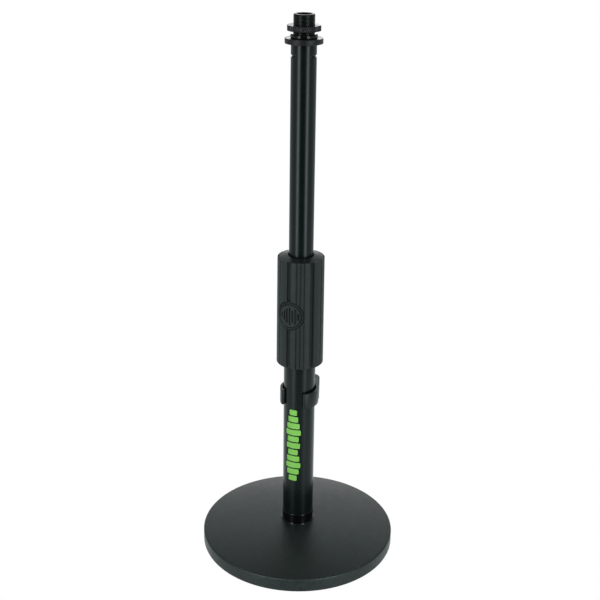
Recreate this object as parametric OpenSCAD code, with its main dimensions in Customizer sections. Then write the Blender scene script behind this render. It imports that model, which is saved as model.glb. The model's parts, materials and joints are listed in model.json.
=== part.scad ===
// Desktop microphone stand: a weighted round base, a two-stage tube locked by a twist
// clutch, and a 5/8 in - 27 stud with a knurled lock ring on top.
// Millimetres, +Z up, origin at the centre of the footprint. The front faces -Y.
// The stand is drawn at full height with the clutch locked.
// Threads are drawn as plain cylinders at their major radius.

/* [Base] */
// Diameter of the base plate
base_d = 160; // [140:1:200]
// Height of the rim above the table
rim_h = 12.1; // [10:0.1:14]
// Height of the crown, where the tube stands
crown_h = 20.2; // [18:0.1:24]
// Radius of the rounded upper edge of the rim
rim_round = 1.5; // [0.5:0.1:3]
// Thickness of the rubber ring under the plate
pad_t = 2.6; // [2:0.1:4]
// How far the rubber ring stands out under the plate
pad_proud = 0.8; // [0.4:0.1:1.5]
// Nominal diameter of the bolt through the plate
bolt_d = 8; // [6:1:10]

/* [Tubes] */
// Outside diameter of the lower tube (1 in)
outer_d = 25.4; // [25.4]
// Wall of the lower tube
outer_wall = 1.5; // [1.2:0.1:1.8]
// Outside diameter of the upper tube (3/4 in)
inner_d = 19.05; // [19.05]
// Wall of the upper tube
inner_wall = 1.2; // [1:0.1:1.4]
// Height of the collar at the foot of the lower tube
foot_h = 8.7; // [6:0.1:12]
// Height of the upper tube's top end at full height
tube_top = 418.9; // [380:0.1:440]
// Height of the staked dents below the upper tube's top end
stake_drop = 8.9; // [7:0.1:12]

/* [Twist clutch] */
// Height of the underside of the grip
grip_z = 166.6; // [160:0.1:175]
// Length of the grip
grip_h = 89.15; // [84:0.05:95]
// Diameter of the grip at its top end
grip_top_d = 36.9; // [36:0.1:39]
// Diameter of the grip at its bottom end
grip_bottom_d = 37.5; // [36:0.1:39]
// Depth of the six wide flutes
flute_depth = 2; // [0.6:0.1:2.2]
// Width of a wide flute, in degrees
flute_angle = 12; // [8:1:18]
// Depth of the narrow grooves
groove_depth = 0.8; // [0.3:0.05:1]
// Width of a narrow groove, in degrees
groove_angle = 2.4; // [1.5:0.1:4]
// Diameter of the hole in the cap
cap_hole_d = 20.3; // [20:0.1:22]
// How far the cap rises from its rim to its hole
cap_rise = 1.7; // [0:0.1:3]

/* [Top stud] */
// Major diameter of the thread (5/8 in)
thread_d = 15.875; // [15.875]
// Length of the thread above the boss
thread_len = 14.1; // [12:0.1:20]
// Diameter of the hole down the stud
stud_hole_d = 11; // [8:0.1:12]
// Diameter of the collar ring on the tube's end
collar_d = 28.2; // [24:0.1:32]
// Diameter of the knurled lock ring
lock_ring_d = 24.9; // [22:0.1:28]
// Height of the lock ring's underside above the boss
lock_ring_rise = 2.2; // [1:0.1:8]

/* [Cable clip] */
// Height of the clip's underside
clip_z = 130; // [128:1:150]
// Height of the clip
clip_h = 13; // [8:0.5:18]
// Radius of the clip's outer face
clip_r = 15.6; // [15:0.1:17]
// Wall of the clip
clip_wall = 1.9; // [1.4:0.1:1.9]
// Angle between the clip's tips, in degrees
clip_mouth = 85; // [60:1:95]
// Radius of the hole in the cable loop
loop_hole_r = 4.3; // [3.5:0.1:4.4]

/* [Graphic] */
// Height of the lowest bar of the printed graphic
print_z = 62; // [50:1:70]
// Height of one bar
bar_h = 4.9; // [3:0.1:5.5]
// Distance from bar to bar
bar_pitch = 6.06; // [5.5:0.01:7]
// Length of the longest bar, round the tube
bar_len = 13; // [8:0.5:14]

/* [Hidden] */

$fn = 96;
eps = 0.01;       // overlap of a cutter past the face it cuts
run_gap = 0.05;   // radial clearance of a running fit
end_gap = 0.05;   // axial clearance of a turning piece between its neighbours

// Base
base_r = base_d / 2;
plate_z = pad_proud;                 // underside of the plate
pad_in_r = base_r - 20;
pad_out_r = base_r - 6;
pocket_r = 20;                       // pocket for the bolt head
pocket_z = 10;                       // ceiling of that pocket
bolt_r = bolt_d / 2;
bolt_hole_r = bolt_r + 0.25;
washer_t = 1.6;
washer_r = 12;
lock_washer_t = 2;
lock_washer_r = 7.4;
lock_washer_slit = 1.2;
head_h = 5.3;
head_flats = 13;
foot_r = outer_d / 2 + 0.35;         // collar of the foot insert
seat_r = foot_r + 0.85;              // raised seat for the collar
seat_h = 0.5;
foot_flange_t = 0.5;                 // thin flange of the foot insert, as wide as the seat
// The crown is part of a sphere through the rim's edge and the seat's edge.
edge_r = base_r - rim_round;
seat_foot_z = crown_h - seat_h;
crown_cz = (edge_r * edge_r + rim_h * rim_h - seat_r * seat_r - seat_foot_z * seat_foot_z)
    / (2 * (rim_h - seat_foot_z));
crown_rad = sqrt(edge_r * edge_r + pow(rim_h - crown_cz, 2));

// Tubes
outer_r = outer_d / 2;
outer_bore_r = outer_r - outer_wall;
inner_r = inner_d / 2;
inner_bore_r = inner_r - inner_wall;
outer_z = crown_h + foot_h;          // foot of the lower tube
insert_top = outer_z + 11;
bolt_tip = insert_top - 2;
travel = 160;                        // stroke of the upper tube

// Lower end of the upper tube
plug_flange_t = 2.5;
inner_z = insert_top + travel + plug_flange_t + 2.5;
plug_top = inner_z + 9;
plug_hole_r = 4;
guide_h = 11.9;
stop_t = 1.5;
stop_slit = 3;
stop_z = inner_z + guide_h + 2 * end_gap;
stop_in_r = inner_r - 0.425;
stop_out_r = outer_bore_r - 0.3;

// Clutch
outer_top = stop_z + stop_t + 0.5;   // top end of the lower tube
body_r = 14.9;                       // major radius of the clutch thread
body_z = outer_top - 35;
body_lip_t = 2.5;
seat_z = outer_top + body_lip_t;
seat_h_clutch = 23.5;
seat_r0 = 11.6;                      // taper seat, small end
seat_r1 = 13.4;                      // taper seat, large end
body_top = seat_z + seat_h_clutch;
collet_z = seat_z + 1;
collet_top = body_top + 3.5;
collet_slit = 2;
thrust_t = 1.5;
thrust_r = 14.2;
thrust_z = collet_top + end_gap;
pin_r = 1.5;
pin_z = body_z + 16;
core_r = 15.9;                       // joint between the hard core and the rubber
cap_r = 17.2;
cap_t = 3.25;
grip_top = grip_z + grip_h;
cap_z = grip_top - cap_t;
core_z = grip_z + 0.6;
core_lip_h = 8;
core_lip_r = outer_r + 0.3;
grip_chamfer = 0.7;

// Top stud
stake_z = tube_top - stake_drop;
stake_deep = 1;
stake_half_h = 1.2;
stake_span = 100;                    // degrees, on each side
collar_t = 3.9;
boss_r = 10;
boss_h = 2.9;
boss_round = 0.9;
boss_foot_round = 0.5;
boss_z = tube_top + collar_t;
boss_top = boss_z + boss_h;
stud_top = boss_top + thread_len;
stud_chamfer = 0.8;
thread_r = thread_d / 2;
ring_z = boss_top + lock_ring_rise;
lock_ring_t = 4;
knurl_edge = 0.4;                    // chamfer of both rings' rims
ring_top = ring_z + lock_ring_t;
// A narrow relief, inside the lock ring, splits the thread into the ring's seat and the free end.
relief_r = thread_r - 0.6;
relief_top = ring_top + 0.1;
relief_h = 0.8;

// Cable clip: a C that touches the tube with its two tips and with the web in front of the loop.
// A straight arm leads from the C's right side to the loop.
clip_in_r = clip_r - clip_wall;
tip_r = 1.45;                        // the tips are round beads
tip_c = outer_r + run_gap + tip_r;
clip_dir = 247;                      // the mouth, in degrees from +X
loop_r = loop_hole_r + 3.15;
loop_bead_r = 1.65;
loop_tips = 84;                      // degrees between the loop's tips
loop_mouth_dir = 140;
loop_dir = 64.4;                     // the loop, in degrees from +X
loop_c = 20.2;                       // distance of the loop's centre from the tube's axis
loop_x = loop_c * cos(loop_dir);
loop_y = loop_c * sin(loop_dir);
web_w = 6;
arm_in = 13;                         // the arm's faces, beside the tube's axis
arm_out = 16.1;

// Graphic
print_t = 0.06;
print_dir = 249.5;                   // degrees from +X
bar_lengths = [0.55, 0.8, 1, 0.86, 0.66, 0.92, 0.76, 1, 0.86, 0.66, 0.5];  // of bar_len

function arc(cx, cy, r, a0, a1, n) =
    [for (i = [0:n]) let (a = a0 + (a1 - a0) * i / n) [cx + r * cos(a), cy + r * sin(a)]];
function crown_z(r) = crown_cz + sqrt(crown_rad * crown_rad - r * r);

module lathe(points) {
    rotate_extrude() polygon(points);
}

module ring(r_out, r_in, z0, z1) {
    translate([0, 0, z0]) difference() {
        cylinder(h = z1 - z0, r = r_out);
        translate([0, 0, -eps]) cylinder(h = z1 - z0 + 2 * eps, r = r_in);
    }
}

// A ring with both outer edges chamfered
module edged_ring(r_out, r_in, z0, z1, c) {
    lathe([[r_in, z0], [r_out - c, z0], [r_out, z0 + c], [r_out, z1 - c], [r_out - c, z1], [r_in, z1]]);
}

// A block that cuts one slit through a ring, centred on direction dir
module slit(width, r, z0, z1, dir) {
    rotate([0, 0, dir]) translate([0, -width / 2, z0]) cube([r, width, z1 - z0]);
}

// ---- Base ----

module base_plate() {
    n_crown = 28;
    under = [
        [bolt_hole_r, pocket_z], [pocket_r, pocket_z], [pocket_r, plate_z],
        [pad_in_r, plate_z], [pad_in_r, pad_t], [pad_out_r, pad_t], [pad_out_r, plate_z],
        [base_r - 1, plate_z], [base_r, plate_z + 1]
    ];
    rim = arc(edge_r, rim_h - rim_round, rim_round, 0, 82, 8);
    crown = [for (i = [0:n_crown]) let (r = edge_r + (seat_r - edge_r) * i / n_crown) [r, crown_z(r)]];
    seat = [[seat_r, crown_h - 0.2], [seat_r - 0.2, crown_h], [bolt_hole_r, crown_h]];
    color("#2b2e2f") lathe(concat(under, rim, crown, seat));
}

module base_pad() {
    lip = 0.5;
    color("#151515") lathe([
        [pad_in_r, pad_t], [pad_in_r, lip], [pad_in_r + lip, 0],
        [pad_out_r - lip, 0], [pad_out_r, lip], [pad_out_r, pad_t]
    ]);
}

module base_bolt() {
    head_top = pocket_z - washer_t - lock_washer_t;
    tip_chamfer = 0.8;
    color("silver") {
        translate([0, 0, head_top - head_h])
            cylinder(h = head_h, r = head_flats / 2 / cos(30), $fn = 6);
        lathe([[0, head_top - eps], [bolt_r, head_top - eps], [bolt_r, bolt_tip - tip_chamfer],
            [bolt_r - tip_chamfer, bolt_tip], [0, bolt_tip]]);
    }
}

module base_washer() {
    color("silver") ring(washer_r, bolt_r + 0.2, pocket_z - washer_t, pocket_z);
}

module base_lock_washer() {
    z1 = pocket_z - washer_t;
    z0 = z1 - lock_washer_t;
    color("gray") difference() {
        ring(lock_washer_r, bolt_r + 0.1, z0, z1);
        slit(lock_washer_slit, lock_washer_r + 1, z0 - eps, z1 + eps, 90);
    }
}

// ---- Lower stage ----

module foot_insert() {
    step = 0.35;
    tip = 0.6;
    flange_z = crown_h + foot_flange_t;
    bore = bolt_r + run_gap;
    color("#1a1c1c") lathe(concat(
        [[bore, crown_h], [seat_r, crown_h]],
        arc(seat_r - foot_flange_t, crown_h, foot_flange_t, 0, 90, 6),
        [[foot_r, flange_z]],
        arc(foot_r - step, outer_z - step, step, 0, 90, 6),
        [[outer_bore_r, outer_z], [outer_bore_r, insert_top - tip],
            [outer_bore_r - tip, insert_top], [bore, insert_top]]
    ));
}

module outer_tube() {
    color("#232627") difference() {
        ring(outer_r, outer_bore_r, outer_z, outer_top);
        pin_pair(pin_r, outer_bore_r - 1, outer_r + 1);
    }
}

// A column of bars like a level meter, centre-aligned
module tube_print() {
    color("#84cf66") for (i = [0:len(bar_lengths) - 1]) {
        span = bar_lengths[i] * bar_len / outer_r * 180 / PI;
        z0 = print_z + i * bar_pitch;
        rotate([0, 0, print_dir - span / 2]) rotate_extrude(angle = span)
            translate([outer_r, z0]) square([print_t, bar_h]);
    }
}

// ---- Clutch ----

// Two radial pins along X
module pin_pair(r, r_in, r_out) {
    for (side = [0, 180])
        rotate([0, 0, side]) translate([r_in, 0, pin_z]) rotate([0, 90, 0])
            cylinder(h = r_out - r_in, r = r);
}

module clutch_body() {
    c = 0.8;
    color("#9a9c9e") difference() {
        lathe([
            [outer_r, body_z], [body_r - c, body_z], [body_r, body_z + c],
            [body_r, body_top - c], [body_r - c, body_top], [seat_r1, body_top],
            [seat_r0, seat_z], [inner_r + 0.35, seat_z], [inner_r + 0.35, outer_top],
            [outer_r, outer_top]
        ]);
        pin_pair(pin_r, outer_r - 1, body_r + 1);
    }
}

module clutch_pins() {
    color("silver") pin_pair(pin_r, outer_bore_r + 0.05, body_r - 0.1);
}

module clutch_collet() {
    foot = seat_r0 + (seat_r1 - seat_r0) * (collet_z - seat_z) / seat_h_clutch;
    color("#d8d6cc") difference() {
        lathe([
            [inner_r + run_gap, collet_z], [foot, collet_z], [seat_r1, body_top],
            [seat_r1, collet_top], [inner_r + run_gap, collet_top]
        ]);
        slit(collet_slit, seat_r1 + 1, collet_z - eps, collet_top + eps, 90);
    }
}

module thrust_washer() {
    color("silver") ring(thrust_r, inner_r + 0.6, thrust_z, thrust_z + thrust_t);
}

module grip_core() {
    color("#303234") lathe([
        [core_lip_r, core_z], [core_r, core_z], [core_r, cap_z], [body_r + run_gap, cap_z],
        [body_r + run_gap, core_z + core_lip_h], [core_lip_r, core_z + core_lip_h]
    ]);
}

// A cutter from radius r_floor outwards, span degrees wide, centred on the front-based angle
module flute(r_floor, span, at) {
    rotate([0, 0, at - 90 - span / 2]) translate([0, 0, grip_z - 1])
        rotate_extrude(angle = span)
            translate([r_floor, 0]) square([grip_bottom_d / 2 + 2 - r_floor, grip_h + 2]);
}

module grip_sleeve() {
    r0 = grip_bottom_d / 2;
    r1 = grip_top_d / 2;
    c = grip_chamfer;
    panel_groove = 9.5;              // the outer grooves of a three-groove panel
    turn = 1;
    color("#1e2021") difference() {
        lathe([
            [core_r, grip_z], [r0 - c, grip_z], [r0, grip_z + c], [r1, grip_top - c],
            [r1 - c, grip_top], [cap_r, grip_top], [cap_r, cap_z], [core_r, cap_z]
        ]);
        for (i = [0:5]) {
            flute(r1 - flute_depth, flute_angle, turn + 30 + 60 * i);
            flute(r1 - groove_depth, groove_angle, turn + 60 * i);
        }
        for (i = [0:2]) for (s = [-1, 1])
            flute(r1 - groove_depth, groove_angle, turn + 120 * i + s * panel_groove);
    }
}

module grip_cap() {
    hole_r = cap_hole_d / 2;
    lip = 0.4;
    under = thrust_z + thrust_t + end_gap;
    color("#1e2021") lathe([
        [hole_r, under], [body_r, under], [body_r, cap_z], [cap_r, cap_z], [cap_r, grip_top],
        [hole_r + lip, grip_top + cap_rise], [hole_r, grip_top + cap_rise - lip]
    ]);
}

// ---- Upper stage ----

module tube_guide() {
    color("#d8d6cc") edged_ring(outer_bore_r - run_gap, inner_r + run_gap,
        inner_z + end_gap, inner_z + end_gap + guide_h, 0.4);
}

module tube_plug() {
    flange_r = outer_bore_r - 0.4;
    flange_z = inner_z - plug_flange_t;
    edge = 0.4;
    color("#d8d6cc") lathe([
        [plug_hole_r, flange_z], [flange_r - edge, flange_z], [flange_r, flange_z + edge],
        [flange_r, inner_z], [inner_bore_r, inner_z], [inner_bore_r, plug_top - 1],
        [inner_bore_r - 1, plug_top], [plug_hole_r, plug_top]
    ]);
}

module stop_ring() {
    color("silver") difference() {
        ring(stop_out_r, stop_in_r, stop_z, stop_z + stop_t);
        slit(stop_slit, stop_out_r + 1, stop_z - eps, stop_z + stop_t + eps, 0);
    }
}

// Triangle section of a staked dent, pushed into a wall of radius r
module dent(r, deep, half_h) {
    for (side = [0, 180])
        rotate([0, 0, side - stake_span / 2]) rotate_extrude(angle = stake_span)
            polygon([[r + eps, stake_z - half_h], [r + eps, stake_z + half_h], [r - deep, stake_z]]);
}

module inner_tube() {
    color("#232627") difference() {
        union() {
            ring(inner_r, inner_bore_r, inner_z, tube_top);
            dent(inner_bore_r, stake_deep - 0.2, stake_half_h);
        }
        dent(inner_r, stake_deep, stake_half_h);
        ring(inner_r + 1, stop_in_r, stop_z, stop_z + stop_t);
    }
}

module top_stud() {
    tail = 1;
    lip = 0.4;
    plug_z = tube_top - 22;
    hole_r = stud_hole_d / 2;
    groove_half = stake_half_h + 0.3;
    color("#1a1c1c") lathe(concat(
        [[hole_r, plug_z], [inner_bore_r - tail, plug_z], [inner_bore_r, plug_z + tail],
            [inner_bore_r, stake_z - groove_half], [inner_bore_r - 1, stake_z],
            [inner_bore_r, stake_z + groove_half], [inner_bore_r, boss_z]],
        arc(boss_r - boss_foot_round, boss_z + boss_foot_round, boss_foot_round, -90, 0, 6),
        arc(boss_r - boss_round, boss_top - boss_round, boss_round, 0, 90, 6),
        [[thread_r, boss_top], [thread_r, relief_top - relief_h],
            [relief_r, relief_top - relief_h], [relief_r, relief_top], [thread_r, relief_top],
            [thread_r, stud_top - stud_chamfer], [thread_r - stud_chamfer, stud_top],
            [hole_r + lip, stud_top], [hole_r, stud_top - lip]]
    ));
}

module collar_ring() {
    color("#1a1c1c")
        edged_ring(collar_d / 2, inner_bore_r + run_gap, tube_top, boss_z, knurl_edge);
}

module lock_ring() {
    color("#1a1c1c")
        edged_ring(lock_ring_d / 2, thread_r + run_gap, ring_z, ring_top, knurl_edge);
}

// ---- Cable clip ----

function polar(r, a) = [r * cos(a), r * sin(a)];

// Outline of a C of radii r_out and r_in whose mouth opens in direction dir. Its tips are beads of
// radius bead_r, centred on radius bead_c and mouth degrees apart.
module c_outline(r_out, r_in, bead_c, bead_r, mouth, dir) {
    half = mouth / 2;
    far = 2 * r_out / cos(half);
    difference() {
        circle(r_out);
        circle(r_in);
        polygon([[0, 0], polar(far, dir - half), polar(far, dir + half)]);
    }
    for (a = [-half, half]) translate(polar(bead_c, dir + a)) circle(bead_r);
}

module clip_outline() {
    web_in = outer_r + run_gap;
    web_out = loop_c - loop_hole_r + 1;
    bead_c = loop_r - loop_bead_r + 0.1;
    c_outline(clip_r, clip_in_r, tip_c, tip_r, clip_mouth, clip_dir);
    difference() {
        union() {
            translate([loop_x, loop_y])
                c_outline(loop_r, loop_hole_r - 0.2, bead_c, loop_bead_r, loop_tips, loop_mouth_dir);
            rotate(loop_dir) translate([web_in, -web_w / 2]) square([web_out - web_in, web_w]);
            polygon([
                [clip_r - 0.4, 0], [arm_out, 6], [arm_out, loop_y], [arm_in, loop_y],
                [arm_in, 13], [10.5, 13], [10.5, 9.5], [arm_in, 6.5], [clip_in_r + 0.5, 0]
            ]);
        }
        translate([loop_x, loop_y]) circle(loop_hole_r);
    }
}

module cable_clip() {
    color("#202223") translate([0, 0, clip_z]) linear_extrude(clip_h) clip_outline();
}

base_plate();
base_pad();
base_bolt();
base_washer();
base_lock_washer();
foot_insert();
outer_tube();
tube_print();
clutch_body();
clutch_pins();
clutch_collet();
thrust_washer();
grip_core();
grip_sleeve();
grip_cap();
tube_guide();
tube_plug();
stop_ring();
inner_tube();
top_stud();
collar_ring();
lock_ring();
cable_clip();
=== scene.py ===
"""Desktop microphone stand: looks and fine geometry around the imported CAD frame."""

import json
import math

import bmesh
import bpy
import numpy as np
from mathutils import Matrix, Vector

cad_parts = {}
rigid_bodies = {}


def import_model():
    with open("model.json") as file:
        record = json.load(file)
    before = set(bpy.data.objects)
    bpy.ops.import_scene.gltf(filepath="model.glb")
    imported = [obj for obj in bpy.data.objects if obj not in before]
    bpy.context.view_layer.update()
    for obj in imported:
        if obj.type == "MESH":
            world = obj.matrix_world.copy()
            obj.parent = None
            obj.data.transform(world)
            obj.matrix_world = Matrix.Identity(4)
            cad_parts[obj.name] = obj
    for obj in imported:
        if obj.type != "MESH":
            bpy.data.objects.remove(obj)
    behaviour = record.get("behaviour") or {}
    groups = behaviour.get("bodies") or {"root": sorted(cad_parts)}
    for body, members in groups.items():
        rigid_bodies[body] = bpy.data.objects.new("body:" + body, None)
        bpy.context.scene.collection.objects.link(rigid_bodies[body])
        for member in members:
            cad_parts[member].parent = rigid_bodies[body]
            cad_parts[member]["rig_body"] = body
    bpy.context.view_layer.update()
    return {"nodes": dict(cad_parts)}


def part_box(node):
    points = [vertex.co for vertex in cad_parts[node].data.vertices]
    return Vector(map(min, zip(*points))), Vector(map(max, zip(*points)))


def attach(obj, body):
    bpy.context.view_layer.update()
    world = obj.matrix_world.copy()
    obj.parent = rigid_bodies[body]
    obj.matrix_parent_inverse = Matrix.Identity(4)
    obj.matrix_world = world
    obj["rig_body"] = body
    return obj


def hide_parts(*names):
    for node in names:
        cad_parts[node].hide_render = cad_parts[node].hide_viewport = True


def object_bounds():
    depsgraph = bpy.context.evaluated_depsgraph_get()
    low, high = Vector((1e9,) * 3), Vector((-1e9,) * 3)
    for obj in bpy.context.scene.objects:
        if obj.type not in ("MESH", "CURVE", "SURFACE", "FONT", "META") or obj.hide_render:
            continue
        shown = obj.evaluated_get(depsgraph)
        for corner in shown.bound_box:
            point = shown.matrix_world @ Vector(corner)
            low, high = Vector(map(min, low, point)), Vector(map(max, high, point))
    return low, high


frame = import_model()

MM = 0.001
FRONT = -90.0  # direction of the stand's front, in degrees from +X
HOLD = 0.04  # distance from an arc to the extra point on its flat, in millimetres


# ---------------------------------------------------------------- mesh tools


def cad_mm(node):
    """Lowest and highest corner of a CAD node, in millimetres."""
    lo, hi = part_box(node)
    return lo / MM, hi / MM


def new_piece(name, verts_mm, faces, body, material, replaces=(), sharp=32.0):
    """A mesh object from points in millimetres, smooth apart from edges sharper than the angle."""
    mesh = bpy.data.meshes.new(name)
    mesh.from_pydata((np.asarray(verts_mm, float) * MM).tolist(), [], faces)
    bm = bmesh.new()
    bm.from_mesh(mesh)
    bmesh.ops.remove_doubles(bm, verts=bm.verts, dist=1e-7)
    bmesh.ops.recalc_face_normals(bm, faces=bm.faces)
    bm.to_mesh(mesh)
    bm.free()
    return dress(bpy.data.objects.new(name, mesh), body, material, replaces, sharp)


def dress(obj, body, material, replaces=(), sharp=32.0):
    """Links a finished piece, shades it and hangs it on its CAD body."""
    bpy.context.scene.collection.objects.link(obj)
    mesh = obj.data
    mesh.shade_smooth()
    mesh.set_sharp_from_angle(angle=math.radians(sharp))
    mesh.materials.clear()
    mesh.materials.append(material)
    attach(obj, body)
    if replaces:
        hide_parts(*replaces)
    return obj


def rounded(corners, steps=5):
    """A closed outline from (r, z) or (r, z, radius) corners, with an arc at each rounded one.

    A point just before and just after each arc keeps the smooth shading off the flats.
    """
    points = []
    count = len(corners)
    for i, corner in enumerate(corners):
        here = np.array(corner[:2], float)
        radius = corner[2] if len(corner) > 2 else 0.0
        if not radius:
            points.append(here)
            continue
        before = np.array(corners[i - 1][:2], float) - here
        after = np.array(corners[(i + 1) % count][:2], float) - here
        before /= np.linalg.norm(before)
        after /= np.linalg.norm(after)
        half = math.acos(np.clip(before @ after, -1, 1)) / 2
        bisector = (before + after) / np.linalg.norm(before + after)
        centre = here + bisector * radius / math.sin(half)
        reach = radius / math.tan(half)
        start = here + before * reach - centre
        end = here + after * reach - centre
        a0 = math.atan2(start[1], start[0])
        sweep = (math.atan2(end[1], end[0]) - a0 + math.pi) % (2 * math.pi) - math.pi
        points.append(here + before * (reach + HOLD))
        for k in range(steps + 1):
            a = a0 + sweep * k / steps
            points.append(centre + radius * np.array([math.cos(a), math.sin(a)]))
        points.append(here + after * (reach + HOLD))
    return np.array(points)


def dense(outline, z0, z1, step):
    """The outline with its upright run between z0 and z1 split into short steps."""
    points = []
    for here, after in zip(outline, np.roll(outline, -1, axis=0)):
        points.append(here)
        inside = min(here[1], after[1]) >= z0 - 1e-6 and max(here[1], after[1]) <= z1 + 1e-6
        length = abs(after[1] - here[1])
        if inside and length > step:
            count = int(math.ceil(length / step))
            points += [here + (after - here) * k / count for k in range(1, count)]
    return np.array(points)


def lathe(name, outline, body, material, replaces=(), turns=192, shape=None, sharp=32.0):
    """Turns a closed (r, z) outline round Z. shape(r, z, angle) may change the radius."""
    angles = np.linspace(0, 2 * math.pi, turns, endpoint=False)
    r, a = np.meshgrid(outline[:, 0], angles)
    z = np.meshgrid(outline[:, 1], angles)[0]
    if shape:
        r = shape(r, z, a)
    verts = np.stack([r * np.cos(a), r * np.sin(a), z], -1).reshape(-1, 3)
    rows = len(outline)
    i, j = np.meshgrid(np.arange(turns), np.arange(rows), indexing="ij")
    here, right = i * rows, ((i + 1) % turns) * rows
    up = (j + 1) % rows
    faces = np.stack([here + j, right + j, right + up, here + up], -1).reshape(-1, 4)
    return new_piece(name, verts, faces.tolist(), body, material, replaces, sharp)


def softened(name, node, width, material):
    """A copy of a CAD node with its hard edges rounded."""
    source = frame["nodes"][node]
    bm = bmesh.new()
    bm.from_mesh(source.data)
    bmesh.ops.remove_doubles(bm, verts=bm.verts, dist=1e-6)
    bmesh.ops.dissolve_limit(
        bm, angle_limit=math.radians(0.4), verts=bm.verts, edges=bm.edges
    )
    hard = [e for e in bm.edges if e.is_manifold and e.calc_face_angle(0) > math.radians(40)]
    bmesh.ops.bevel(
        bm, geom=hard, offset=width * MM, segments=3, profile=0.5,
        affect="EDGES", clamp_overlap=True,
    )
    bmesh.ops.triangulate(bm, faces=[f for f in bm.faces if len(f.verts) > 4])
    bmesh.ops.recalc_face_normals(bm, faces=bm.faces)
    mesh = bpy.data.meshes.new(name)
    bm.to_mesh(mesh)
    bm.free()
    body = source["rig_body"]
    return dress(bpy.data.objects.new(name, mesh), body, material, (node,))


def smoothstep(x, lo, hi):
    t = np.clip((x - lo) / (hi - lo), 0, 1)
    return t * t * (3 - 2 * t)


def band(x, half, edge):
    """1 inside +-half, falling smoothly to 0 over edge."""
    return 1 - smoothstep(np.abs(x), half, half + edge)


def turned_from_front(angle, centre_deg):
    """Signed angle in degrees from a direction given as degrees from the front."""
    return (np.degrees(angle) - FRONT - centre_deg + 180) % 360 - 180


# ---------------------------------------------------------------- materials


class Nodes:
    """Shorthand for building a node tree."""

    def __init__(self, tree):
        self.tree = tree
        tree.nodes.clear()

    def add(self, kind, inputs=None, **props):
        node = self.tree.nodes.new(kind)
        for key, value in props.items():
            setattr(node, key, value)
        for key, value in (inputs or {}).items():
            if isinstance(value, bpy.types.NodeSocket):
                self.tree.links.new(value, node.inputs[key])
            else:
                node.inputs[key].default_value = value
        return node

    def math(self, operation, a, b=0.0):
        return self.add("ShaderNodeMath", {0: a, 1: b}, operation=operation).outputs[0]

    def step(self, value, lo, hi, to_lo=0.0, to_hi=1.0):
        inputs = {0: value, 1: lo, 2: hi, 3: to_lo, 4: to_hi}
        node = self.add("ShaderNodeMapRange", inputs, interpolation_type="SMOOTHSTEP")
        return node.outputs[0]

    def mix(self, factor, a, b):
        node = self.add("ShaderNodeMix", {0: factor, 2: a, 3: b}, data_type="FLOAT")
        return node.outputs[0]

    def noise(self, coordinates, scale, detail):
        inputs = {"Vector": coordinates, "Scale": scale, "Detail": detail, "Roughness": 0.5}
        return self.add("ShaderNodeTexNoise", inputs).outputs["Fac"]


def surface(name, color, roughness, grain=(), tint=0.0, rough_var=0.0, metallic=0.0,
            specular=0.5, fleck=0.0, painted_shade_inward=None, rough_above=None):
    """A principled material whose colour, roughness and bump come from noise in object space.

    grain is a list of (features per metre, height in mm). fleck is the share by which the colour
    changes from grain to grain. painted_shade_inward is (radius in mm, radius in mm, share):
    painted shade, the colour falls to that share from the outer to the inner radius about Z.
    rough_above is (height in mm, roughness): another roughness above that height.
    """
    material = bpy.data.materials.new(name)
    material.use_nodes = True
    n = Nodes(material.node_tree)
    place = n.add("ShaderNodeTexCoord").outputs["Object"]
    shift = n.step(n.noise(place, 45.0, 3.0), 0.3, 0.7, 1 - tint, 1 + tint)
    if fleck:
        grains = n.step(n.noise(place, 620.0, 1.0), 0.35, 0.65, 1 - fleck, 1 + fleck)
        shift = n.math("MULTIPLY", shift, grains)
    # Painted shade: the colour darkens towards Z inside the inner radius.
    if painted_shade_inward:
        inner, outer, share = painted_shade_inward
        level = {0: place, 1: (1, 1, 0)}
        flat = n.add("ShaderNodeVectorMath", level, operation="MULTIPLY").outputs[0]
        radius = n.add("ShaderNodeVectorMath", {0: flat}, operation="LENGTH").outputs["Value"]
        shift = n.math("MULTIPLY", shift, n.step(radius, inner * MM, outer * MM, share, 1.0))
    grey = n.add("ShaderNodeCombineColor", {0: shift, 1: shift, 2: shift}).outputs[0]
    paint = n.add(
        "ShaderNodeMix", {0: 1.0, 6: (*color, 1.0), 7: grey},
        data_type="RGBA", blend_type="MULTIPLY",
    )
    low, high = roughness - rough_var, roughness + rough_var
    rough = n.step(n.noise(place, 160.0, 4.0), 0.3, 0.7, low, high)
    if rough_above:
        height, rough_there = rough_above
        up = n.add("ShaderNodeSeparateXYZ", {0: place}).outputs[2]
        rough = n.mix(n.step(up, (height - 0.1) * MM, (height + 0.1) * MM), rough, rough_there)
    inputs = {
        "Base Color": paint.outputs[2], "Roughness": rough, "Metallic": metallic,
        "Specular IOR Level": specular,
    }
    for features, height in grain:
        bump = {"Height": n.noise(place, features, 2.0), "Distance": height * MM, "Strength": 1.0}
        if "Normal" in inputs:
            bump["Normal"] = inputs["Normal"]
        inputs["Normal"] = n.add("ShaderNodeBump", bump).outputs[0]
    shader = n.add("ShaderNodeBsdfPrincipled", inputs)
    n.add("ShaderNodeOutputMaterial", {"Surface": shader.outputs[0]})
    return material


# Painted shade: the top of the plate is painted darker than its rim wall.
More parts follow.
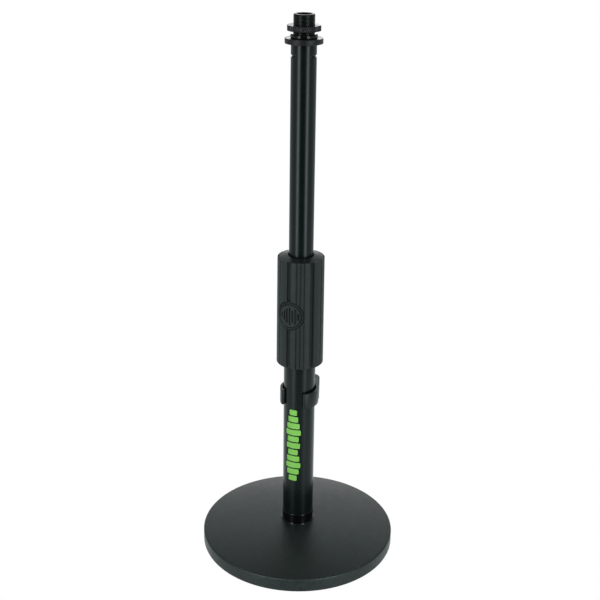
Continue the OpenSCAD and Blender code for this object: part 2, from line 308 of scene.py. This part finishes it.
POWDER = surface(
    "powder_coat", (0.0215, 0.0280, 0.0285), 0.42, grain=[(1500, 0.035), (620, 0.035)],
    tint=0.05, rough_var=0.02, specular=0.56, fleck=0.24, painted_shade_inward=(78.6, 79.7, 0.40),
)
PAINT = surface(
    "tube_paint", (0.0030, 0.0078, 0.0072), 0.22, grain=[(260, 0.0012)], tint=0.08, rough_var=0.02,
)
PLATED = surface(
    "black_plate", (0.0012, 0.0018, 0.0018), 0.11, grain=[(1800, 0.001)], tint=0.10, rough_var=0.03,
)
KNURLED = surface(
    "black_plate_knurl", (0.012, 0.014, 0.014), 0.24, grain=[(2500, 0.002)], tint=0.10,
    rough_var=0.05,
)
STUD = surface(
    "black_plate_thread", (0.003, 0.004, 0.004), 0.10, grain=[(1800, 0.001)], tint=0.10,
    rough_var=0.02, rough_above=(425.75, 0.29),
)
# Painted shade: the floors of the flutes and the badge's cuts are painted darker.
GRIP = surface(
    "grip_rubber", (0.036, 0.042, 0.042), 0.50, grain=[(2200, 0.006), (500, 0.006)],
    tint=0.08, rough_var=0.05, specular=0.35, painted_shade_inward=(16.9, 18.2, 0.45),
)
CAP = surface(
    "grip_cap", (0.010, 0.012, 0.012), 0.40, grain=[(2200, 0.003)], tint=0.08, rough_var=0.05,
    specular=0.25,
)
PAD = surface(
    "pad_rubber", (0.016, 0.016, 0.016), 0.75, grain=[(900, 0.03)], tint=0.15, rough_var=0.05,
)
CLIP = surface(
    "clip_plastic", (0.014, 0.017, 0.017), 0.34, grain=[(1400, 0.003)], tint=0.08, rough_var=0.05,
)
HARD = surface(
    "hard_plastic", (0.030, 0.033, 0.034), 0.48, grain=[(1600, 0.004)], tint=0.08, rough_var=0.05,
)
NYLON = surface(
    "nylon", (0.72, 0.70, 0.62), 0.42, grain=[(900, 0.004)], tint=0.04, rough_var=0.05,
)
ZINC = surface(
    "zinc_steel", (0.60, 0.61, 0.63), 0.30, grain=[(700, 0.003)], tint=0.08, rough_var=0.10,
    metallic=1.0,
)
CAST = surface(
    "die_cast", (0.42, 0.43, 0.44), 0.45, grain=[(1200, 0.008)], tint=0.10, rough_var=0.08,
    metallic=1.0,
)
INK = surface(
    "green_ink", (0.34, 0.81, 0.135), 0.42, grain=[(3000, 0.002)], tint=0.05, rough_var=0.05,
)

NODE_MATERIALS = {
    "base_pad": PAD, "base_washer": ZINC, "base_lock_washer": ZINC,
    "clutch_body": CAST, "clutch_pins": ZINC, "clutch_collet": NYLON, "thrust_washer": ZINC,
    "grip_core": HARD, "tube_guide": NYLON, "tube_plug": NYLON, "stop_ring": ZINC,
}
for node_name, node_material in NODE_MATERIALS.items():
    node_mesh = frame["nodes"][node_name].data
    node_mesh.materials.clear()
    node_mesh.materials.append(node_material)


# ---------------------------------------------------------------- base

BOLT_HOLE_R = 4.25
FOOT_R = 13.05
SEAT_R, FLANGE_T = 13.9, 0.5  # the flange of the foot fills the seat in the plate


def build_base():
    lo, hi = cad_mm("base_plate")
    pad_hi = cad_mm("base_pad")[1]
    base_r, crown, under = round(hi.x), hi.z, lo.z
    pad_in = base_r - 20
    pad_out = round(pad_hi.x, 1)
    rim_h, rim_round, pocket_r, pocket_z = 12.1, 1.5, 20.0, 10.0
    edge_r = base_r - rim_round
    seat_z = crown - FLANGE_T
    centre_z = (edge_r**2 + rim_h**2 - SEAT_R**2 - seat_z**2) / (2 * (rim_h - seat_z))
    dome = math.hypot(edge_r, rim_h - centre_z)
    radii = np.linspace(edge_r, SEAT_R, 60)
    crown_points = [(r, centre_z + math.sqrt(dome**2 - r * r)) for r in radii]
    tilt = math.asin(edge_r / dome)
    rim_arc = [
        (edge_r + rim_round * math.cos(a), rim_h - rim_round + rim_round * math.sin(a))
        for a in np.linspace(0, math.pi / 2 - tilt, 10)
    ]
    outline = np.array(
        [(BOLT_HOLE_R, crown), (BOLT_HOLE_R, pocket_z)]
        + [(pocket_r, pocket_z), (pocket_r, under), (pad_in, under), (pad_in, pad_hi.z)]
        + [(pad_out, pad_hi.z), (pad_out, under), (base_r - 1.0, under)]
        + [(base_r - 0.3, under + 0.3), (base_r, under + 1.0), (base_r, under + 1.3)]
        + [(base_r, rim_h - rim_round - 0.3)]
        + rim_arc
        + crown_points[1:]
        + [(SEAT_R, crown - 0.2), (SEAT_R - 0.2, crown)]
    )
    lathe(
        "base_plate_coated", outline, "base", POWDER,
        ("base_plate",), turns=256, sharp=40,
    )


def build_foot():
    lo, hi = cad_mm("foot_insert")
    collar_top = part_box("outer_tube")[0].z / MM
    bore, spigot, flange_z = 4.05, 11.2, lo.z + FLANGE_T
    outline = rounded([
        (bore, lo.z), (SEAT_R, lo.z), (SEAT_R, flange_z, 0.45), (FOOT_R, flange_z, 0.1),
        (FOOT_R, collar_top, 0.6), (spigot, collar_top), (spigot, hi.z, 0.6), (bore, hi.z),
    ])
    lathe("foot_collar", outline, "base", PLATED, ("foot_insert",))


def build_bolt():
    softened("base_bolt_hex", "base_bolt", 0.35, ZINC)


# ---------------------------------------------------------------- tubes

OUTER_R, OUTER_BORE = 12.7, 11.2
INNER_R, INNER_BORE = 9.525, 8.325
STAKE_DOWN = 8.9  # from the upper tube's end down to the dents that stake it to the stud


def build_outer_tube():
    lo, hi = cad_mm("outer_tube")
    outline = rounded([
        (OUTER_BORE, lo.z), (OUTER_R, lo.z, 0.15), (OUTER_R, hi.z, 0.3), (OUTER_BORE, hi.z),
    ])
    lathe("lower_tube_painted", outline, "base", PAINT, ("outer_tube",))


def build_inner_tube():
    lo, hi = cad_mm("inner_tube")
    stake_z = hi.z - STAKE_DOWN
    stake_lo, stake_hi = stake_z - 2.5, stake_z + 2.5
    outer_deep, inner_deep, stake_half, stake_span, fade = 1.0, 0.8, 1.15, 46.0, 9
    stop_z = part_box("stop_ring")[0].z / MM
    stop_h, stop_r = 1.5, 9.1
    outline = rounded([
        (INNER_BORE, lo.z), (INNER_R, lo.z, 0.2), (INNER_R, stop_z), (stop_r, stop_z),
        (stop_r, stop_z + stop_h), (INNER_R, stop_z + stop_h), (INNER_R, stake_lo),
        (INNER_R, stake_hi), (INNER_R, hi.z, 0.15), (INNER_BORE, hi.z),
        (INNER_BORE, stake_hi), (INNER_BORE, stake_lo),
    ])
    outline = dense(outline, stake_lo, stake_hi, 0.1)

    def staked(r, z, a):
        drop = np.clip(1 - np.abs(z - stake_z) / stake_half, 0, 1)
        side = sum(
            1 - smoothstep(np.abs(turned_from_front(a, c)), stake_span, stake_span + fade)
            for c in (90, -90)
        )
        pushed = r > (INNER_R + INNER_BORE) / 2
        return r - side * np.where(pushed, outer_deep * drop, inner_deep * drop)

    lathe(
        "upper_tube_painted", outline, "upper_stage", PAINT, ("inner_tube",),
        turns=240, shape=staked, sharp=28,
    )


# Lengths of the printed bars, as shares of the longest
BAR_LENGTHS = (0.55, 0.8, 1.0, 0.86, 0.66, 0.92, 0.76, 1.0, 0.86, 0.66, 0.5)


def build_print():
    """A column of bars with round corners, like a level meter, printed on the lower tube."""
    lo, hi = cad_mm("tube_print")
    bar_h, longest, corner_r, centre = 4.9, 13.0, 1.0, math.radians(249.5)
    outside, inside = OUTER_R + 0.06, OUTER_R - 0.02
    pitch = (hi.z - lo.z - bar_h) / (len(BAR_LENGTHS) - 1)
    columns = 40
    verts, faces = [], []
    for index, share in enumerate(BAR_LENGTHS):
        middle = lo.z + bar_h / 2 + index * pitch
        half = longest * share / 2
        first = len(verts)
        for k in range(columns + 1):
            u = -half * math.cos(math.pi * k / columns)
            inset = max(abs(u) - (half - corner_r), 0.0)
            reach = bar_h / 2 - corner_r + math.sqrt(max(corner_r**2 - inset**2, 0.0))
            a = centre + u / OUTER_R
            for r in (outside, inside):
                for z in (middle - reach, middle + reach):
                    verts.append((r * math.cos(a), r * math.sin(a), z))
        for k in range(columns):
            p, q = first + 4 * k, first + 4 * (k + 1)
            faces += [(p, q, q + 1, p + 1), (p + 2, p + 3, q + 3, q + 2)]
            faces += [(p, p + 2, q + 2, q), (p + 1, q + 1, q + 3, p + 3)]
        last = first + 4 * columns
        faces += [(first, first + 1, first + 3, first + 2), (last, last + 2, last + 3, last + 1)]
    new_piece("printed_bars", verts, faces, "base", INK, ("tube_print",))


# ---------------------------------------------------------------- clutch grip

GRIP_TOP_R, GRIP_BOTTOM_R, CORE_R, CAP_R = 18.45, 18.75, 15.9, 17.2
CAP_SEAT = 3.25  # depth of the cap's seat in the top of the sleeve
FLUTE_DEEP, GROOVE_DEEP, GRIP_TURN = 1.9, 0.8, 1.0
EMBLEM_AT, EMBLEM_R = -25.7, 12.6  # degrees from the front, millimetres


def flute_depth(angle):
    """How far the grip's surface lies under its crest, from the wide flutes and thin grooves."""
    grooves = [60 * i for i in range(6)]
    grooves += [120 * i + side for i in range(3) for side in (-9.5, 9.5)]
    deep = np.zeros_like(angle)
    for i in range(6):
        off = turned_from_front(angle, GRIP_TURN + 30 + 60 * i)
        deep = np.maximum(deep, FLUTE_DEEP * band(off, 5.0, 1.8))
    for groove in grooves:
        off = turned_from_front(angle, GRIP_TURN + groove)
        deep = np.maximum(deep, GROOVE_DEEP * band(off, 0.6, 1.3))
    return deep


def emblem_depth(u, v, deep):
    """A plain round badge: two rings and seven level bars sunk into a flush disc."""
    rho = np.hypot(u, v)
    disc = band(rho, EMBLEM_R - 0.5, 0.5)
    cut = np.maximum(band(rho - 11.4, 0.4, 0.4), band(rho - 9.6, 0.2, 0.4))
    for i, reach in enumerate((1.0, 3.0, 5.4, 6.6, 4.2, 5.6, 2.2)):
        x = u - 2.4 * (i - 3)
        y = np.maximum(np.abs(v) - reach, 0)
        cut = np.maximum(cut, band(np.hypot(x, y), 0.5, 0.4))
    return deep * (1 - disc) + disc * (0.05 + 1.2 * cut)


def build_grip():
    lo, hi = cad_mm("grip_sleeve")
    cap_lo = hi.z - CAP_SEAT
    emblem_z = lo.z + 0.505 * (hi.z - lo.z)
    outline = rounded([
        (CORE_R, lo.z, 0.2), (GRIP_BOTTOM_R, lo.z, 0.9), (GRIP_TOP_R, hi.z, 0.7),
        (CAP_R, hi.z, 0.15), (CAP_R, cap_lo), (CORE_R, cap_lo),
    ], steps=6)
    zs = [lo.z + 3, emblem_z - EMBLEM_R - 0.5, emblem_z + EMBLEM_R + 0.5, hi.z - 3]
    taper = GRIP_TOP_R - GRIP_BOTTOM_R
    wall = [(GRIP_BOTTOM_R + taper * (z - lo.z) / (hi.z - lo.z), z) for z in zs]
    low_edge = [p[1] < lo.z + 2 and p[0] > GRIP_BOTTOM_R - 0.2 for p in outline]
    crest = max(i for i, here in enumerate(low_edge) if here)
    outline = np.insert(outline, crest + 1, np.array(wall), axis=0)
    outline = dense(outline, zs[1], zs[2], 0.2)

    def moulded(r, z, a):
        base = np.where(z > cap_lo + 0.1, CAP_R, CORE_R)
        share = np.clip((r - base) / (GRIP_TOP_R - 0.05 - base), 0, 1)
        u = np.radians(turned_from_front(a, EMBLEM_AT)) * GRIP_TOP_R
        return r - share * emblem_depth(u, z - emblem_z, flute_depth(a))

    lathe(
        "grip_sleeve_moulded", outline, "clutch_grip", GRIP, ("grip_sleeve",),
        turns=600, shape=moulded, sharp=50,
    )
    lo, hi = cad_mm("grip_cap")
    hole, plug_r, rim_z = 10.15, 14.9, cap_lo + CAP_SEAT
    outline = rounded([
        (hole, lo.z), (plug_r, lo.z), (plug_r, cap_lo), (CAP_R, cap_lo), (CAP_R, rim_z, 0.15),
        (hole, hi.z, 0.6),
    ])
    lathe("grip_cap_moulded", outline, "clutch_grip", CAP, ("grip_cap",))


# ---------------------------------------------------------------- top fittings

THREAD_R, THREAD_PITCH = 7.9375, 25.4 / 27
THREAD_DEEP = 0.40 * THREAD_PITCH
COLLAR_KNURL, LOCK_KNURL = (110, 0.12), (54, 0.5)  # grooves each way round, depth


def knurl(r, z, a, radius, z_mid, z_half, count, deep):
    """Diamond knurl on a rim: two crossed sets of V grooves."""
    lean = count / (2 * math.pi * radius)
    p = a * count / (2 * math.pi) + (z - z_mid) * lean
    q = a * count / (2 * math.pi) - (z - z_mid) * lean
    ridge = np.minimum(np.abs(p - np.round(p)), np.abs(q - np.round(q))) * 2
    on_rim = (r > radius - 0.02) & (np.abs(z - z_mid) < z_half)
    return np.where(on_rim, r - deep * (1 - ridge), r)


def build_stud():
    lo, hi = cad_mm("top_stud")
    boss_z = cad_mm("collar_ring")[1].z
    boss_top = boss_z + 2.9
    boss_r, boss_round, hole = 10.0, 0.9, 5.5
    stake_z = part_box("inner_tube")[1].z / MM - STAKE_DOWN
    outline = rounded([
        (hole, lo.z), (INNER_BORE, lo.z, 0.8), (INNER_BORE, stake_z - 1.5),
        (INNER_BORE - 1, stake_z), (INNER_BORE, stake_z + 1.5), (INNER_BORE, boss_z),
        (boss_r, boss_z, 0.5), (boss_r, boss_top, boss_round), (THREAD_R, boss_top),
        (THREAD_R, hi.z, 0.8), (hole, hi.z, 0.5),
    ])
    outline = dense(outline, boss_top, hi.z, THREAD_PITCH / 12)

    def threaded(r, z, a):
        turn = z / THREAD_PITCH - a / (2 * math.pi)
        depth = THREAD_DEEP * np.clip(1 - 3.6 * np.abs(turn - np.round(turn)), 0, 1)
        ends = smoothstep(z, boss_top + 0.1, boss_top + 0.9)
        on_thread = (z > boss_top + 0.02) & (r > THREAD_R - 0.9)
        return np.where(on_thread, np.minimum(r, THREAD_R - depth * ends), r)

    lathe(
        "threaded_stud", outline, "upper_stage", STUD, ("top_stud",),
        turns=180, shape=threaded, sharp=50,
    )


def build_rings():
    lo, hi = cad_mm("collar_ring")
    mid, radius = (lo.z + hi.z) / 2, 14.1
    outline = rounded([
        (INNER_BORE + 0.05, lo.z), (radius, lo.z, 0.35), (radius, hi.z, 0.35),
        (INNER_BORE + 0.05, hi.z),
    ], steps=3)
    outline = dense(outline, lo.z + 0.3, hi.z - 0.3, 0.16)
    lathe(
        "collar_ring_turned", outline, "upper_stage", KNURLED, ("collar_ring",),
        turns=720, sharp=50,
        shape=lambda r, z, a: knurl(r, z, a, radius, mid, mid - lo.z - 0.3, *COLLAR_KNURL),
    )
    lo, hi = cad_mm("lock_ring")
    mid, radius = (lo.z + hi.z) / 2, 12.45
    bore = THREAD_R + 0.05
    outline = rounded([
        (bore, lo.z, 0.3), (radius, lo.z, 0.4), (radius, hi.z, 0.4), (bore, hi.z, 0.3),
    ], steps=3)
    outline = dense(outline, lo.z + 0.35, hi.z - 0.35, 0.14)
    z_half = mid - lo.z - 0.35
    lathe(
        "lock_ring_knurled", outline, "lock_ring", KNURLED, ("lock_ring",),
        turns=720, sharp=50,
        shape=lambda r, z, a: knurl(r, z, a, radius, mid, z_half, *LOCK_KNURL),
    )


def build_clip():
    softened("cable_clip_moulded", "cable_clip", 0.3, CLIP)


# ---------------------------------------------------------------- studio


def build_floor():
    """A pale floor for the camera only: white from above, clear from below."""
    mesh = bpy.data.meshes.new("floor")
    size = 20.0
    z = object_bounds()[0].z - 0.0002
    corners = [(-size, -size, z), (size, -size, z), (size, size, z), (-size, size, z)]
    mesh.from_pydata(corners, [], [(0, 1, 2, 3)])
    floor = bpy.data.objects.new("floor", mesh)
    bpy.context.scene.collection.objects.link(floor)
    material = bpy.data.materials.new("floor_white")
    material.use_nodes = True
    n = Nodes(material.node_tree)
    white = n.add("ShaderNodeEmission", {"Color": (1, 1, 1, 1), "Strength": 1.0}).outputs[0]
    clear = n.add("ShaderNodeBsdfTransparent").outputs[0]
    behind = n.add("ShaderNodeNewGeometry").outputs["Backfacing"]
    both = n.add("ShaderNodeMixShader", {0: behind, 1: white, 2: clear}).outputs[0]
    n.add("ShaderNodeOutputMaterial", {"Surface": both})
    mesh.materials.append(material)
    for ray in ("diffuse", "glossy", "transmission", "volume_scatter", "shadow"):
        setattr(floor, "visible_" + ray, False)


def build_studio():
    """White surroundings for the camera; for the object, a soft tent with two tall strips."""
    world = bpy.data.worlds.new("studio")
    bpy.context.scene.world = world
    world.use_nodes = True
    n = Nodes(world.node_tree)
    way = n.add("ShaderNodeTexCoord").outputs["Generated"]
    xyz = n.add("ShaderNodeSeparateXYZ", {0: way}).outputs
    to_deg = 180 / math.pi
    # azimuth: degrees from the front, the same to either side. height: degrees over the horizon
    azimuth = n.math("ARCTAN2", xyz[0], n.math("MULTIPLY", xyz[1], -1.0))
    azimuth = n.math("ABSOLUTE", n.math("MULTIPLY", azimuth, to_deg))
    height = n.math("MULTIPLY", n.math("ARCSINE", xyz[2]), to_deg)

    def near(value, centre, inner, outer):
        """1 within inner degrees of the centre, falling to 0 at outer."""
        off = n.math("ABSOLUTE", n.math("SUBTRACT", value, centre))
        return n.step(off, inner, outer, 1.0, 0.0)

    strip = n.step(height, -29.5, -17.0, 0.0, 2.5)
    strip = n.math("MULTIPLY", near(azimuth, 40.5, 2.0, 18.0), strip)
    # Below the horizon: dark in front, paler to the sides and the back
    high = n.step(azimuth, 8.0, 70.0, 0.03, 0.33)
    high = n.math("ADD", high, n.step(azimuth, 80.0, 125.0, 0.0, 0.15))
    low = n.step(azimuth, 10.0, 50.0, 0.30, 0.50)
    low = n.math("ADD", low, n.step(azimuth, 85.0, 140.0, 0.0, 0.35))
    floor_glow = n.math("ADD", n.mix(n.step(height, -29.0, -19.0), low, high), strip)
    # Above it: a bright wall behind with a white foot, two soft boxes in a dim room in front
    wall = n.step(height, 15.0, 34.0, 0.20, 1.80)
    wall = n.math("MULTIPLY", wall, n.step(height, 30.0, 57.0, 1.0, 0.03))
    wall = n.math("ADD", wall, n.step(height, 8.0, 12.0, 3.0, 0.0))
    boxes = n.math("MULTIPLY", near(azimuth, 42.0, 3.0, 8.0), near(height, 42.0, 8.0, 15.0))
    room = n.math("ADD", 0.20, n.math("MULTIPLY", boxes, 16.0))
    behind = n.step(azimuth, 120.0, 190.0)
    above = n.step(height, -4.0, 4.0)
    light = n.mix(above, floor_glow, n.mix(behind, room, wall))
    # Cool light, but white from the foot of the wall
    foot = n.math("MULTIPLY", above, n.step(height, 10.0, 16.0, 1.0, 0.0))
    cool = {0: foot, 6: (0.88, 1.0, 0.99, 1.0), 7: (1.0, 1.0, 1.0, 1.0)}
    tint = n.add("ShaderNodeMix", cool, data_type="RGBA").outputs[2]
    lit = n.add("ShaderNodeBackground", {"Color": tint, "Strength": light}).outputs[0]
    white = n.add("ShaderNodeBackground", {"Color": (1, 1, 1, 1), "Strength": 1.0}).outputs[0]
    seen = n.add("ShaderNodeLightPath").outputs["Is Camera Ray"]
    both = n.add("ShaderNodeMixShader", {0: seen, 1: lit, 2: white}).outputs[0]
    n.add("ShaderNodeOutputWorld", {"Surface": both})
    view = bpy.context.scene.view_settings
    view.view_transform = "Standard"
    view.look = "None"


def build_camera():
    """Above and in front of the stand, turned a little about its own axis."""
    yaw, pitch, roll = -0.02722, 0.38329, 0.01325
    level = Vector((math.cos(yaw), -math.sin(yaw), 0))
    ahead = Vector((math.sin(yaw), math.cos(yaw), 0))
    forward = math.cos(pitch) * ahead - math.sin(pitch) * Vector((0, 0, 1))
    above = level.cross(forward)
    right = math.cos(roll) * level + math.sin(roll) * above
    up = right.cross(forward)
    camera = bpy.data.cameras.new("camera")
    camera.sensor_width = 36.0
    camera.lens = 66.80
    camera.clip_start, camera.clip_end = 0.01, 100.0
    obj = bpy.data.objects.new("camera", camera)
    bpy.context.scene.collection.objects.link(obj)
    axes = Matrix((right, up, -forward)).transposed()
    obj.matrix_world = Matrix.Translation((0.021747, -0.814085, 0.547334)) @ axes.to_4x4()
    bpy.context.scene.camera = obj


build_base()
build_foot()
build_bolt()
build_outer_tube()
build_print()
build_inner_tube()
build_grip()
build_stud()
build_rings()
build_clip()
build_floor()
build_studio()
build_camera()
